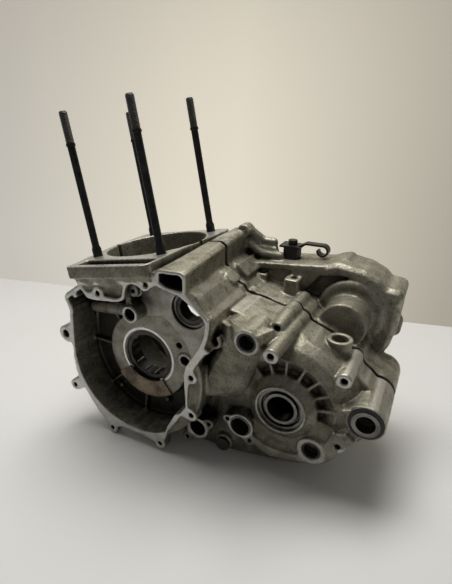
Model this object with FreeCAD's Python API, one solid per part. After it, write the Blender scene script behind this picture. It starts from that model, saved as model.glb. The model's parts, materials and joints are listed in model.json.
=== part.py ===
import FreeCAD, Part
import math
import os
from FreeCAD import Vector

os.makedirs("parts", exist_ok=True)

# Crankcase of a single-cylinder engine, split lengthwise. Millimetres. X runs to the rear, -Y is the
# left side, +Z is up. Shapes are drawn from the crank axis and moved to the row's origin at the end.

# Main castings
lean = 10.0               # cylinder axis, degrees forward of vertical
deck_height = 105.0       # crank axis to the cylinder deck
deck_thick = 12.0
bore_r = 52.0             # mouth for the cylinder skirt
bore_depth = 26.0
gasket_thick = 1.8        # joint between the two halves
gasket_inset = 1.5        # how far the gasket sits back from the outer edge
chamber_r = 68.0          # crank chamber
chamber_half = 32.0       # half its width
wall = 5.5
flange_y = 79.0           # left cover face, from the joint plane
flange_thick = 12.0
cavity_r = 72.0           # round part of the left cavity
cavity_floor = 44.0
bearing_face = 52.0       # face of both main bearing seats
seat_boss_r = 47.0
gear_face = 58.0          # left face of the gearbox
gear_floor = 40.0         # inside face of the gearbox wall
right_wall = 44.0         # outside face of the right gearbox wall
right_face = 82.0         # right cover face
deck_right = 58.0         # right edge of the deck
neck_front = 57.5         # front of the casting under the deck
neck_drop = 75.0          # how far its walls run down from the deck
upper_face = 55.0         # raised wall over the main bearing seat
shell_steps = [(-28.0, 64.0), (-38.0, 61.0), (-47.0, 55.0), (-54.0, 46.0)]   # Y, radius about the output

# Shaft positions (X, Z from the crank axis)
balancer = (52.4, 62.7)
output = (145.8, -10.1)
main_shaft = (97.0, 14.0)
shift_shaft = (119.6, 57.6)
pivot = (216.5, -4.5)
dome = (178.0, 49.0)

# Main bearings: outer ring, cage and rollers, with no inner ring
main_seat_r = 31.0
main_lip = 2.0            # shoulder behind the bearing
main_race_r = 27.5
roller_r = 3.0
roller_pitch_r = 24.45
roller_length = 11.0
roller_count = 13
cage_in_r = 22.5
cage_out_r = 26.6
snap_wire = 1.6
snap_back = 0.6           # snap ring groove, from the seat face
snap_out_r = 32.0
snap_in_r = 29.2

# Balancer bearings
balancer_seat_r = 18.0
balancer_race_r = 15.6
balancer_cage_in = 11.2
balancer_width = 13.0

# Output shaft bearing: a ball bearing with two rings
output_seat_r = 21.0
output_face = 61.0
output_boss_r = 31.5
output_sink = 3.0         # bearing below the face
output_bore_r = 12.5
output_width = 12.0
output_inner_r = 15.2
output_outer_in = 18.3
ball_r = 2.6
ball_count = 11

# Gearbox bearings inside the halves
shaft_seat_r = 20.0
shaft_bore_r = 10.0
shaft_width = 12.0

# Swing arm pivot
pivot_boss_r = 16.0
pivot_face = 52.0
pivot_far = 42.0
pivot_seal_r = 14.4
pivot_bush_r = 11.6
pivot_bore_r = 8.0
pivot_seal_depth = 9.0

# Cylinder studs
stud_u = 39.0             # half spacing along the deck
stud_v = 46.7             # half spacing across the deck
stud_r = 4.0
stud_out = 135.0
stud_in = 16.0
stud_thread = 28.0
stud_shank_r = 3.55
stud_collar_r = 4.6
stud_collar = 7.0         # height above the deck
stud_relief = 1.5         # counterbore that the collar stands in
stud_relief_gap = 0.25

# Cable guide on the right housing
bolt_at = (108.5, 63.0)   # X, Y
guide_bolt_r = 3.0
pad_top = 88.0
block_top = 101.0
strip_thick = 2.0

# Screws and small fits
case_hole_r = 2.6
front_lug_r = 4.2
play = 0.05               # radial room of a turning piece


def vec(x, y, z):
    return Vector(x, y, z)


def prism(points, y0, y1):
    wire = Part.makePolygon([vec(x, y0, z) for x, z in points + points[:1]])
    return Part.Face(wire).extrude(vec(0, y1 - y0, 0))


def drum(at, r, y0, y1):
    return Part.makeCylinder(r, y1 - y0, vec(at[0], y0, at[1]), vec(0, 1, 0))


def ring(at, r_out, r_in, y0, y1):
    return drum(at, r_out, y0, y1).cut(drum(at, r_in, y0, y1))


def cone(at, r0, r1, y0, y1):
    return Part.makeCone(r0, r1, y1 - y0, vec(at[0], y0, at[1]), vec(0, 1, 0))


def loft(points0, y0, points1, y1):
    wires = []
    for points, y in ((points0, y0), (points1, y1)):
        wires.append(Part.makePolygon([vec(x, y, z) for x, z in points + points[:1]]))
    return Part.makeLoft(wires, True, True)


def box(x0, x1, y0, y1, z0, z1):
    return Part.makeBox(x1 - x0, y1 - y0, z1 - z0, vec(x0, y0, z0))


def join(shapes):
    return shapes[0].multiFuse(shapes[1:])


def on_deck(shape):
    """Carry a shape drawn on the deck (top face at Z 0, cylinder axis at 0, 0) to its leaning place."""
    shape.rotate(vec(0, 0, 0), vec(0, 1, 0), -lean)
    angle = math.radians(lean)
    shape.translate(vec(-deck_height * math.sin(angle), 0, deck_height * math.cos(angle)))
    return shape


def polar(at, r, degrees):
    angle = math.radians(degrees)
    return (at[0] + r * math.cos(angle), at[1] + r * math.sin(angle))


def rib(at, r0, r1, degrees, thick, y0, y1):
    """A straight radial rib from radius r0 to r1 about a Y axis."""
    bar = box(r0, r1, y0, y1, -thick / 2, thick / 2)
    bar.rotate(vec(0, 0, 0), vec(0, 1, 0), -degrees)
    bar.translate(vec(at[0], 0, at[1]))
    return bar


crank = (0.0, 0.0)
half_gap = gasket_thick / 2
shell_top = -shell_steps[-1][0]

# Left cover face: outer edge with its screw ears, clockwise from the top left
flange_outline = [
    (-75.9, 61.0), (-73.5, 64.6), (-66.2, 69.6), (-59.8, 74.2), (-56.1, 75.9), (-52.1, 77.5),
    (-49.9, 76.3), (-45.9, 72.2), (-41.6, 71.8), (-36.7, 75.6), (-31.1, 79.7),
    (-25.5, 77.3), (-24.0, 71.3), (-9.2, 71.8), (-3.9, 74.7), (-1.6, 81.8), (1.2, 88.3), (6.5, 92.5),
    (14.0, 92.9), (19.3, 92.2), (24.3, 95.9), (30.2, 95.8), (33.7, 99.8), (35.4, 105.7), (40.0, 107.9),
    (60.9, 108.6), (65.5, 106.4), (65.4, 91.1), (71.9, 83.5), (82.4, 73.3), (87.0, 69.8), (87.0, 62.9),
    (85.1, 53.1), (81.9, 43.9), (87.3, 40.5), (81.8, 36.6), (70.1, 18.1), (73.8, 11.5), (71.7, 5.6),
    (65.7, 2.4), (64.2, -3.5), (62.9, -23.2), (68.9, -25.3), (72.1, -31.2), (67.2, -38.0),
    (55.5, -35.8), (48.7, -47.1), (39.4, -59.7), (34.3, -74.9), (33.2, -81.5), (26.2, -85.9),
    (22.2, -79.8), (4.1, -76.9), (-17.9, -76.1), (-25.6, -79.8), (-27.9, -85.5), (-32.2, -87.2),
    (-37.1, -85.8), (-38.0, -79.7), (-49.7, -66.5), (-59.6, -52.6), (-65.7, -42.2), (-74.4, -48.1),
    (-84.5, -45.1), (-79.5, -36.6), (-71.7, -31.9), (-74.4, -22.1), (-75.3, -7.6), (-74.1, 4.3),
    (-75.7, 9.6), (-83.4, 9.0), (-89.6, 17.4), (-86.0, 22.5), (-73.4, 31.7), (-71.6, 46.2),
    (-73.8, 53.5), (-76.1, 57.5),
]
flange_holes = [
    (28.9, -79.4), (-32.5, -82.8), (-79.2, -43.0), (-32.0, 72.6), (24.6, 91.2), (67.7, 9.8), (66.7, -31.5),
]
front_lug = (-81.7, 18.2)

# Left cavity above and behind its round part
cavity_upper = [
    (-71.6, 10.0), (-68.5, 42.5), (-67.1, 48.3), (-68.4, 53.0), (-72.0, 59.2), (-65.7, 64.5),
    (-62.6, 62.2), (-60.8, 62.2), (-58.3, 64.6), (-60.2, 68.0), (-53.1, 73.2), (-49.4, 69.2),
    (-46.2, 65.4), (-40.0, 64.7), (-32.4, 65.2), (-9.7, 67.9), (-3.6, 70.4), (-0.4, 73.5), (1.2, 82.3),
    (4.5, 87.1), (9.6, 89.2), (15.0, 88.4), (22.0, 84.5), (26.8, 86.0), (29.0, 88.7), (35.1, 92.1),
    (46.4, 89.7), (57.5, 87.3), (70.6, 79.8), (81.2, 70.8), (82.9, 66.6), (81.5, 54.6), (77.0, 43.8),
    (62.4, 19.7), (60.1, 11.2), (0.0, 0.0),
]
cavity_round_limit = [
    (-90.0, 30.0), (62.4, 30.0), (62.4, 19.7), (60.1, 11.2), (60.8, -23.9), (55.0, -33.1),
    (48.5, -36.9), (38.2, -55.7), (34.4, -69.4), (33.0, -90.0), (-90.0, -90.0),
]
# Left housing behind the cover face, without the ears
housing_upper = [
    (-75.5, 10.0), (-71.5, 46.0), (-73.8, 53.5), (-75.6, 59.5), (-73.0, 64.0), (-63.0, 71.0),
    (-52.0, 76.5), (-46.0, 72.5),
    (-28.0, 70.0), (-9.5, 71.5), (-4.0, 74.5), (0.5, 87.0), (6.5, 92.0), (19.0, 91.5), (30.0, 94.5),
    (36.0, 100.0), (64.0, 100.0), (65.4, 91.1), (71.9, 84.5), (82.4, 74.3), (88.0, 69.8), (88.0, 62.9),
    (85.1, 53.1), (81.0, 42.0), (70.0, 22.0), (65.0, 4.0), (63.0, -24.0), (56.0, -35.0), (0.0, 0.0),
]
housing_ridges = [
    (40.0, 60.0), (58.0, 96.0), (65.4, 92.5), (74.0, 86.0), (82.4, 75.3), (89.0, 70.8), (90.0, 62.9),
    (85.1, 51.1), (78.0, 38.0), (50.0, 36.0),
]

# The joint plane: outer edge of the gearbox, clockwise from behind the neck
joint_gear = [
    (30.0, 60.0), (45.0, 96.0), (62.7, 93.0), (68.5, 88.5), (76.4, 77.2), (82.6, 75.3), (86.5, 69.4),
    (93.4, 67.6), (100.8, 67.6), (111.1, 65.2), (124.3, 62.0), (131.2, 63.4), (137.0, 60.2),
    (145.0, 59.0), (149.0, 54.0), (162.3, 49.1), (171.2, 45.4), (189.5, 33.5), (195.0, 34.3),
    (200.2, 30.5), (202.6, 22.0), (209.5, 17.1), (215.4, 11.5), (221.2, 10.7), (226.5, 7.5),
    (230.4, 3.0), (232.5, -4.5), (230.4, -12.5), (224.0, -19.0), (213.0, -28.0), (206.0, -38.0),
    (197.0, -46.0), (194.0, -55.0), (189.0, -62.0), (182.0, -68.0), (173.0, -71.0), (160.0, -75.0),
    (143.0, -79.5), (120.0, -82.5), (95.0, -87.0), (60.0, -88.0), (30.0, -83.0), (0.0, -70.0),
]
gear_inside = [
    (82.0, 62.0), (100.8, 61.0), (111.1, 59.0), (124.0, 55.0), (133.0, 50.0), (146.0, 45.0),
    (162.0, 42.5), (178.0, 34.0), (188.0, 23.0), (195.0, 14.0), (199.0, 0.0), (196.0, -20.0),
    (190.0, -38.0), (184.0, -56.0), (174.0, -64.0), (158.0, -68.5), (140.0, -73.0), (118.0, -76.0),
    (95.0, -80.0), (62.0, -81.0), (58.0, -60.0), (70.0, -30.0), (78.0, 0.0), (74.0, 40.0),
]
# Outside face of the gearbox on the left: the raised area, drawn at the face
gear_plate = [
    (84.0, 60.0), (86.5, 36.0), (79.0, 17.0), (72.0, 0.0), (68.5, -12.0), (72.0, -18.5), (80.0, -18.0),
    (88.0, -14.5), (96.0, -14.5), (104.0, -12.0), (110.0, -8.5), (114.5, -12.0), (117.0, -26.0),
    (123.0, -38.0), (122.0, -50.0), (119.5, -57.9), (138.0, -66.2), (161.9, -61.2), (177.0, -59.0),
    (186.0, -54.0), (192.0, -48.0), (195.5, -41.0), (197.5, -35.0), (207.0, -27.0), (215.0, -18.0),
    (222.0, -10.0), (222.0, 4.0), (213.0, 9.0), (204.0, 18.0), (201.0, 28.0), (189.5, 33.5),
    (171.2, 45.4), (149.0, 54.0), (145.0, 59.0), (137.0, 60.2), (124.3, 61.0), (100.0, 66.0),
]
pivot_hollow = [(190.0, 7.0), (184.0, -6.0), (186.0, -16.0), (196.0, -19.0), (203.0, -16.0), (202.0, 4.0)]

# Right cover housing
right_outline = [
    (-66.0, 44.0), (-48.0, 62.0), (-20.0, 74.0), (24.0, 80.0), (71.0, 86.0), (115.0, 90.0),
    (150.0, 93.5), (160.7, 97.8), (173.7, 96.0), (187.8, 93.7), (202.1, 87.1), (209.0, 80.5),
    (217.0, 80.0), (223.0, 78.0), (225.0, 72.0), (222.5, 65.4), (223.3, 56.4), (222.3, 40.6),
    (218.3, 21.9), (211.8, 8.6), (205.0, -8.0), (196.0, -28.0), (184.0, -50.0), (160.0, -66.0),
    (128.0, -76.0), (90.0, -81.0), (45.0, -80.0), (0.0, -78.5), (-34.0, -71.0), (-58.0, -53.0),
    (-74.0, -27.0), (-79.0, 0.0), (-76.0, 24.0),
]

# Its rear part stands proud of the gearbox, with a shallow recess inside the rim
rim_outer = right_outline[5:20] + [(196.0, 6.0), (150.0, 40.0), (115.0, 60.0)]
rim_recess = [
    (145.8, 82.6), (163.3, 85.6), (180.4, 86.2), (196.0, 78.6), (205.8, 66.6), (209.0, 50.8),
    (204.1, 32.7), (199.2, 21.4), (185.0, 20.0), (150.0, 40.0), (130.0, 62.0),
]

# Duct over the gearbox, from the cover face through both halves
duct_left = [(33.0, 90.0), (35.4, 105.7), (40.0, 107.9), (60.9, 108.6), (65.5, 106.4), (65.4, 88.0), (50.0, 82.0)]
duct_joint = [(36.0, 92.0), (41.0, 110.5), (45.0, 114.0), (57.5, 115.0), (62.9, 111.4), (62.7, 90.0), (50.0, 84.0)]
duct_right = [(38.0, 92.0), (44.0, 113.0), (48.0, 117.0), (58.0, 118.0), (63.5, 115.0), (64.0, 90.0), (52.0, 84.0)]
duct_end = 52.0
hole_left = [(40.2, 96.2), (40.0, 103.1), (58.3, 104.6), (61.2, 102.4), (60.8, 91.9), (46.6, 92.6)]
hole_joint = [(42.5, 100.0), (45.5, 109.0), (56.5, 110.5), (58.8, 108.0), (58.5, 95.5), (46.6, 95.5)]
hole_right = [(44.0, 102.0), (48.0, 112.0), (56.5, 113.5), (59.0, 111.0), (59.0, 97.0), (48.0, 97.0)]

# Deck, drawn flat: front edge, rear edge
deck_left_edge = 85.6
deck_left = [(-43.0, -deck_left_edge), (43.0, -deck_left_edge), (48.0, -83.5), (50.0, -78.0), (50.5, -25.0),
             (53.5, 0.0), (-58.0, 0.0)]
deck_right_pts = [(-58.0, 0.0), (53.5, 0.0), (59.0, 47.0), (57.0, 55.0), (50.0, deck_right),
                  (-50.0, deck_right), (-56.0, 52.0)]
slot_u0, slot_u1 = -36.7, 47.0
slot_v0, slot_v1 = -79.0, -63.5


def flat(points, z0, z1):
    wire = Part.makePolygon([vec(x, y, z0) for x, y in points + points[:1]])
    return Part.Face(wire).extrude(vec(0, 0, z1 - z0))


def across(points, x0, x1):
    """A (Y, Z) outline drawn through a width along X."""
    wire = Part.makePolygon([vec(x0, y, z) for y, z in points + points[:1]])
    return Part.Face(wire).extrude(vec(x1 - x0, 0, 0))



def inset(points, d):
    """Move every edge of a clockwise outline inwards by d."""
    out = []
    n = len(points)
    for i in range(n):
        (ax, az), (bx, bz), (cx, cz) = points[i - 1], points[i], points[(i + 1) % n]
        l1 = math.hypot(bx - ax, bz - az)
        l2 = math.hypot(cx - bx, cz - bz)
        n1 = ((bz - az) / l1, -(bx - ax) / l1)
        n2 = ((cz - bz) / l2, -(cx - bx) / l2)
        k = d / (1 + n1[0] * n2[0] + n1[1] * n2[1])
        out.append((bx + k * (n1[0] + n2[0]), bz + k * (n1[1] + n2[1])))
    return out


def rod(a, b, r):
    """A round bar with ball ends between two points."""
    p, q = Vector(*a), Vector(*b)
    bar = Part.makeCylinder(r, (q - p).Length, p, q - p)
    return join([bar, Part.makeSphere(r, p), Part.makeSphere(r, q)])


def pad(x0, x1, y0, y1, z0, z1, r):
    """A block with rounded upright corners."""
    block = box(x0, x1, y0, y1, z0, z1)
    upright = [e for e in block.Edges if abs(e.Vertexes[0].Z - e.Vertexes[1].Z) > 0.1]
    return block.makeFillet(r, upright)


def on_slope(shape):
    """Carry a pad drawn flat to the sloping back of the neck."""
    shape.rotate(vec(0, 0, 0), vec(0, 1, 0), 42.0)
    shape.translate(vec(67.8, 0, 87.5))
    return shape


def sector(at, r, deg0, deg1, y0, y1):
    """A wedge from the axis, used to cut rings to a part turn."""
    steps = 12
    arc = [polar(at, r, deg0 + (deg1 - deg0) * i / steps) for i in range(steps + 1)]
    return prism([at] + arc, y0, y1)


# Left half: solid forms
flange = prism(flange_outline, -flange_y, -flange_y + flange_thick)
for spot in flange_holes:
    flange = flange.fuse(drum(spot, 6.2, -flange_y, -flange_y + flange_thick))
left = join([
    flange,
    drum(front_lug, 8.8, -flange_y, -flange_y + flange_thick + 3),
    drum(crank, cavity_r + 4.5, -flange_y + 4, -half_gap - 30),
    drum(crank, chamber_r + 9.5, -46, -half_gap),
    prism(housing_upper, -flange_y + 4, -38),
    prism(housing_ridges, -flange_y + 5, -half_gap - 9),
    loft(duct_left, -flange_y, duct_joint, -half_gap),
    prism(joint_gear, -gear_floor - wall, -half_gap),
    prism(gear_plate, -gear_face, -gear_floor),
    on_deck(flat(deck_left, -deck_thick, 0)),
    on_deck(box(-neck_front, 51, -60, -half_gap, -neck_drop, -deck_thick)),
    on_deck(across([(-81.5, -deck_thick), (-72, -36), (-72, -44), (-40, -44), (-40, -deck_thick)], -42, 48)),
])
left = left.cut(box(-200, 400, -half_gap, 200, -200, 300))
shell = join([cone(output, r1, r0, y1, y0) for (y0, r0), (y1, r1) in zip(shell_steps, shell_steps[1:])])
shoulder = sector(output, 92.0, 18.0, 100.0, -gear_face - 1, shell_steps[0][0]).cut(shell)
shoulder = shoulder.cut(drum(output, shell_steps[-1][1], -gear_face - 1, shell_steps[-1][0]))
gutter = ring(output, 45.5, output_boss_r, -gear_face - 1, -gear_floor - wall)
gutter = gutter.common(sector(output, 60.0, -8.0, 128.0, -gear_face - 1, -gear_floor - wall))
left = left.cut(shoulder)
left = left.cut(gutter)
left = left.cut(drum(output, 46.5, -gear_face - 1, -shell_top))
left = left.cut(prism(pivot_hollow, -gear_face - 1, -gear_face + 8))
left = left.cut(drum(pivot, pivot_boss_r + 1.5, -gear_face - 1, -pivot_face))

# Left half: hollows
round_cavity = drum(crank, cavity_r, -flange_y - 1, -cavity_floor)
gear_hollow = prism(gear_inside, -gear_floor, gear_floor)
gear_hollow = gear_hollow.cut(drum(crank, chamber_r + wall, -gear_floor - 1, gear_floor + 1))
gear_hollow = gear_hollow.cut(drum(pivot, pivot_boss_r + 2, -gear_floor - 1, gear_floor + 1))
chamber = drum(crank, chamber_r, -chamber_half, chamber_half)
balancer_room = drum(balancer, 22.0, -chamber_half, chamber_half)
mouth = on_deck(Part.makeCylinder(bore_r, bore_depth + 1, vec(0, 0, -bore_depth)))
throat = on_deck(box(-44, 50, -chamber_half + 1, chamber_half - 1, -70, -bore_depth + 1))
slot = [(slot_v0, 1), (slot_v1, 1), (slot_v1 + 6, -44), (slot_v0 + 12, -44)]
left = left.cut(Part.makeCompound([
    round_cavity.common(prism(cavity_round_limit, -flange_y - 1, -cavity_floor)),
    prism(cavity_upper, -flange_y - 1, -cavity_floor),
    chamber,
]))
left = left.cut(Part.makeCompound([balancer_room, gear_hollow]))
left = left.cut(Part.makeCompound([
    on_deck(across(slot, slot_u0, slot_u1)),
    loft(hole_left, -flange_y - 0.01, hole_joint, -half_gap + 0.01),
]))
left = left.cut(throat)

# Left half: what stands in the cavity and on the gearbox face
upper_wall = [
    (1.0, 50.0), (-1.0, 60.0), (-1.6, 71.0), (-0.4, 74.5), (1.2, 83.3), (4.5, 88.1), (9.6, 90.2),
    (15.0, 89.4), (22.0, 85.5), (29.0, 89.7), (35.1, 93.1), (57.5, 88.3), (71.6, 80.8), (82.2, 71.8),
    (83.9, 66.6), (82.5, 54.6), (78.0, 43.8), (63.4, 19.7), (61.1, 11.2), (61.5, -12.0), (46.0, -12.0),
    (30.0, 30.0),
]
pillar = (-2.1, 54.0)
guide_pin = (5.4, 79.7)
guide_pin_r = 5.4
guide_pin_bore = 2.1
small_bore = (38.5, 21.7)
large_bore = (45.8, 7.5)
filter_front = (63.0, -59.5)
filter_rear = (108.5, -41.5)
filter_front_ears = [(75.5, -50.5), (50.5, -74.5)]
filter_rear_ears = [(95.0, -38.0), (118.0, -55.0)]
plug = (87.3, -75.0)
screen = (175.6, -44.7)
low_screw = (197.4, -31.2)
top_screws = [(135.0, 61.5, 48.0, 5.8), (142.0, 52.8, 80.0, 6.4), (194.8, 27.6, 49.0, 6.9)]
slot_lug = (88.0, 47.5)
lobe_base = [
    (90.0, 64.0), (85.0, 38.0), (78.5, 17.0), (71.5, 0.0), (68.3, -12.0), (72.0, -18.2), (80.0, -18.2),
    (96.0, -14.3), (108.0, -9.0), (114.0, 0.0), (119.0, 16.0), (127.0, 40.0), (131.0, 58.0),
]
lobe_top = [
    (106.0, 64.0), (99.0, 44.0), (90.0, 24.0), (83.0, 6.0), (79.0, -4.0), (81.0, -8.0), (86.0, -8.5),
    (95.0, -6.0), (102.0, -2.0), (107.0, 6.0), (114.0, 22.0), (121.0, 42.0), (126.0, 60.0),
]
left = join([
    left,
    drum(crank, seat_boss_r, -bearing_face, -chamber_half),
    prism(upper_wall, -upper_face, -cavity_floor + 2).cut(Part.makeCompound([
        drum(crank, seat_boss_r + 8, -80, 0), drum(balancer, 24.5, -80, -bearing_face)])),
    ring(crank, seat_boss_r + 9, seat_boss_r - 1, -bearing_face + 3, -cavity_floor + 2).common(
        sector(crank, 90.0, 20.0, 98.0, -80, 0)),
    rod((-64, -47, 44.5), (-8, -47, 49.5), 6.0),
    drum((19.5, -48.7), 3.2, -50, -cavity_floor + 1),
    drum((-42.0, -50.0), 3.0, -50, -cavity_floor + 1),
    drum(balancer, 24.0, -bearing_face, -chamber_half),
    drum(pillar, 7.6, -72, -cavity_floor + 2),
    box(-10, -4, -66, -cavity_floor + 2, 54, 70),
    drum(guide_pin, 7.0, -70, -cavity_floor + 2),
    drum(large_bore, 8.0, -bearing_face - 2, -chamber_half),
] + [rib(crank, seat_boss_r - 1, cavity_r + 1, a, 3.0, -50, -cavity_floor + 1) for a in (118, 136, 178, 222, 262)])
left = join([
    left,
    loft(lobe_base, -gear_face + 1, lobe_top, -66),
    drum(shift_shaft, 11.0, -77, -gear_floor),
    cone(shift_shaft, 12.2, 19.0, -75, -gear_face + 1).common(box(80, 160, -80, 0, 0, 66)),
    drum(output, output_boss_r, -shell_top, -gear_floor),
    cone(output, 25.0, output_boss_r, -output_face + 2.5, -shell_top),
    drum(output, 23.4, -output_face, -gear_floor),
    drum(main_shaft, 17.0, -gear_floor - 1, -gear_floor + 8),
    drum(pivot, pivot_boss_r, -pivot_face, -half_gap),
    drum(filter_front, 12.0, -62, -34),
    drum(filter_rear, 12.8, -60, -34),
    drum(plug, 9.0, -52, -34),
    drum(screen, 13.0, -58, -36),
    drum(low_screw, 6.6, -57, -36),
    drum(slot_lug, 6.2, -72, -58),
    on_slope(pad(0, 13, -19, -2.5, -9, 5, 3.0)),
    drum((66.5, 88.0), 4.0, -20, -half_gap),
    Part.makeCone(4.5, 9.5, 17, vec(182, -16, 31)),
    box(189.5, 192.5, -15, -12, 38, 49.5),
    prism([(78, -47), (72, -46), (52, -60), (46, -76), (52, -80), (66, -70), (80, -53)], -62, -52),
    prism([(91, -36), (97, -33), (112, -29), (122, -50), (120, -59), (113, -57), (98, -45)], -60, -50),
] + [drum(spot, 5.2, -62, -50) for spot in filter_front_ears]
  + [drum(spot, 4.8, -60, -48) for spot in filter_rear_ears]
  + [drum((x, z), r, -y, -half_gap) for x, z, y, r in top_screws]
  + [rib(output, 29, 46.5, a, 2.6, -shell_top + 0.5, -gear_floor) for a in (109, 88, 67, 48, 30, 10)])
left = left.cut(balancer_room)

# Left half: bores and screw holes
seat_depth = bearing_face - chamber_half - main_lip
snap_y = bearing_face - snap_back
left = left.cut(Part.makeCompound([
    drum(crank, main_seat_r, -bearing_face - 3, -chamber_half - main_lip),
    drum(crank, main_race_r, -chamber_half - main_lip - 1, -chamber_half + 1),
    drum(balancer, balancer_seat_r, -bearing_face - 1, -bearing_face + balancer_width),
    drum(balancer, balancer_race_r, -bearing_face + balancer_width - 1, -chamber_half + 1),
    drum(pillar, 4.4, -73, -56),
    drum(guide_pin, guide_pin_r, -74, -56),
    drum(small_bore, 3.2, -bearing_face - 1, -bearing_face + 12),
    drum(large_bore, 4.8, -bearing_face - 4, -bearing_face + 12),
    drum(output, output_seat_r, -output_face - 1, -output_face + output_sink + output_width),
    drum((19.5, -48.7), 1.3, -51, -cavity_floor),
    drum(shift_shaft, 8.4, -78, -77 + 16),
    drum(main_shaft, 13.0, -gear_floor - 6, -gear_floor + 9),
    drum(pivot, pivot_seal_r, -pivot_face - 1, -pivot_face + pivot_seal_depth),
    drum(pivot, pivot_bore_r + 1.5, -pivot_face, 1),
    drum(filter_front, 8.6, -63, -40),
    drum(filter_rear, 10.2, -61, -38),
    drum(plug, 5.0, -53, -40),
    drum(screen, 8.6, -59, -42),
    drum(front_lug, front_lug_r, -flange_y - 1, -50),
    drum(slot_lug, 3.2, -73, -57),
    box(86.4, 89.6, -73, -57, 47, 56),
    Part.makeCylinder(5.6, 12, vec(182, -16, 37)),
    drum(low_screw, 2.8, -58, -42),
]))
left = left.cut(mouth)
left = left.cut(Part.makeCompound([
    ring(crank, snap_out_r, snap_in_r - 1, -snap_y, -snap_y + snap_wire),
    drum(output, output_bore_r + 4.5, -output_face + output_sink + output_width - 1, -gear_floor + 1),
    drum(shift_shaft, 6.7, -77 + 15, -gear_floor + 1),
] + [drum(spot, case_hole_r, -flange_y - 1, -flange_y + 16) for spot in flange_holes]
  + [drum(spot, 2.2, -63, -48) for spot in filter_front_ears]
  + [drum(spot, 2.2, -61, -46) for spot in filter_rear_ears]
  + [drum((x, z), 2.9, -y - 1, -y + 22) for x, z, y, r in top_screws]))
print("left", left.isValid(), len(left.Solids), round(left.Volume / 1000, 1))

# Right half: solid forms
rim = join([
    prism(right_outline, right_wall + 3, right_face),
    loft(inset(right_outline, 5.0), right_wall - 2, right_outline, right_wall + 3),
    loft(inset(rim_outer, 4.0), right_wall - 8, rim_outer, right_wall - 3),
    prism(rim_outer, right_wall - 3, right_wall + 4),
])
rim = rim.cut(prism(rim_recess, right_wall - 9, right_wall + 2))
right = join([
    rim,
    drum(crank, chamber_r + 9.5, half_gap, right_wall + 2),
    prism(joint_gear, half_gap, right_wall + 3),
    prism(housing_ridges, half_gap + 9, right_wall),
    on_deck(flat(deck_right_pts, -deck_thick, 0)),
    on_deck(box(-neck_front, 51, half_gap, 50, -neck_drop, -deck_thick)),
    loft(duct_joint, half_gap, duct_right, duct_end),
    drum(pivot, pivot_boss_r, half_gap, pivot_far),
    drum(output, 26.0, 24, right_wall),
    drum(dome, 21.6, 6, right_wall + 3),
    cone(dome, 24.0, 31.0, 32, right_wall + 3),
    Part.makeTorus(26.5, 5.5, vec(dome[0], right_wall - 3, dome[1]), vec(0, 1, 0)),
])
right = right.cut(box(-200, 400, -200, half_gap, -200, 300))
right = right.cut(Part.makeCompound([chamber, prism(inset(right_outline, 6.0), right_wall + 8, right_face + 1)]))
right = right.cut(Part.makeCompound([balancer_room, gear_hollow]))
right = right.cut(drum((dome[0], dome[1] + 4), 13.0, 12, right_face))
right = join([
    right,
    on_deck(box(-50, 50, 45, 51, -44, -deck_thick + 1)),
    on_deck(box(-50, 50, 45, deck_right - 1, -30, -deck_thick + 1)),
])
right = right.cut(Part.makeCompound([mouth, loft(hole_joint, half_gap - 0.01, hole_right, duct_end - 6)]))
right = right.cut(throat)

# Right half: what stands on it
right = join([
    right,
    drum(crank, seat_boss_r - 3, chamber_half, bearing_face),
    drum(balancer, 24.0, chamber_half, bearing_face),
    drum(output, 25.0, gear_floor - 10, gear_floor + 4),
    drum(main_shaft, 25.0, gear_floor - 4, right_wall + 8),
    on_slope(pad(0, 14, 8, right_wall, -9, 4, 3.5)),
    rod((64, 52, 116), (79, 56, 104.5), 5.0),
    rod((79, 56, 104.5), (90, 56, 104.5), 5.0),
    rod((63, 48, 103), (78, 50, 93), 4.6),
    rod((78, 50, 93), (100, 50, 92.4), 4.6),
    prism([(63, 84), (63, 113), (68, 111), (79, 101), (95, 101), (98, 92), (98, 84)], 49, 58),
    drum((61.5, 116.5), 7.0, duct_end - 12, duct_end + 3),
    drum((218.0, 73.0), 6.5, 56, right_face),
    drum((90.0, 64.0), 6.0, half_gap, right_wall),
    pad(79, 93, 31, right_wall + 2, 60, 77, 3.0),
    pad(114, 129.5, 22, right_wall + 2, 56, 79, 3.0),
    box(99, 118, 55, 71, 80, pad_top),
    drum((142.0, 52.8), 6.4, half_gap, 30),
    drum((135.0, 61.0), 4.8, half_gap, 30),
])
right = right.cut(Part.makeCompound([
    balancer_room,
    drum(crank, main_seat_r, chamber_half + main_lip, bearing_face + 1),
    drum(crank, main_race_r, chamber_half - 1, chamber_half + main_lip + 1),
    drum(balancer, balancer_seat_r, bearing_face - balancer_width, bearing_face + 1),
    drum(balancer, balancer_race_r, chamber_half - 1, bearing_face - balancer_width + 1),
    drum(output, shaft_seat_r, gear_floor - 11, gear_floor - 10 + shaft_width),
    drum(main_shaft, shaft_seat_r, right_wall + 8 - shaft_width, right_wall + 9),
    drum(main_shaft, shaft_seat_r - 2.5, gear_floor - 5, right_wall + 9 - shaft_width),
    drum(pivot, pivot_seal_r, pivot_far - pivot_seal_depth, pivot_far + 1),
    drum(pivot, pivot_bore_r + 1.5, -1, pivot_far),
    Part.makeCylinder(3.0, 14, vec(122, 32, 66)),
    Part.makeCylinder(guide_bolt_r, 8, vec(bolt_at[0], bolt_at[1], pad_top - 5)),
    Part.makeCylinder(2.4, 14, vec(86.5, 37, 64)),
    drum((61.5, 116.5), 2.8, duct_end - 8, duct_end + 4),
    box(99, 118, 54, 72, pad_top, pad_top + 6),
]))
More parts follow.
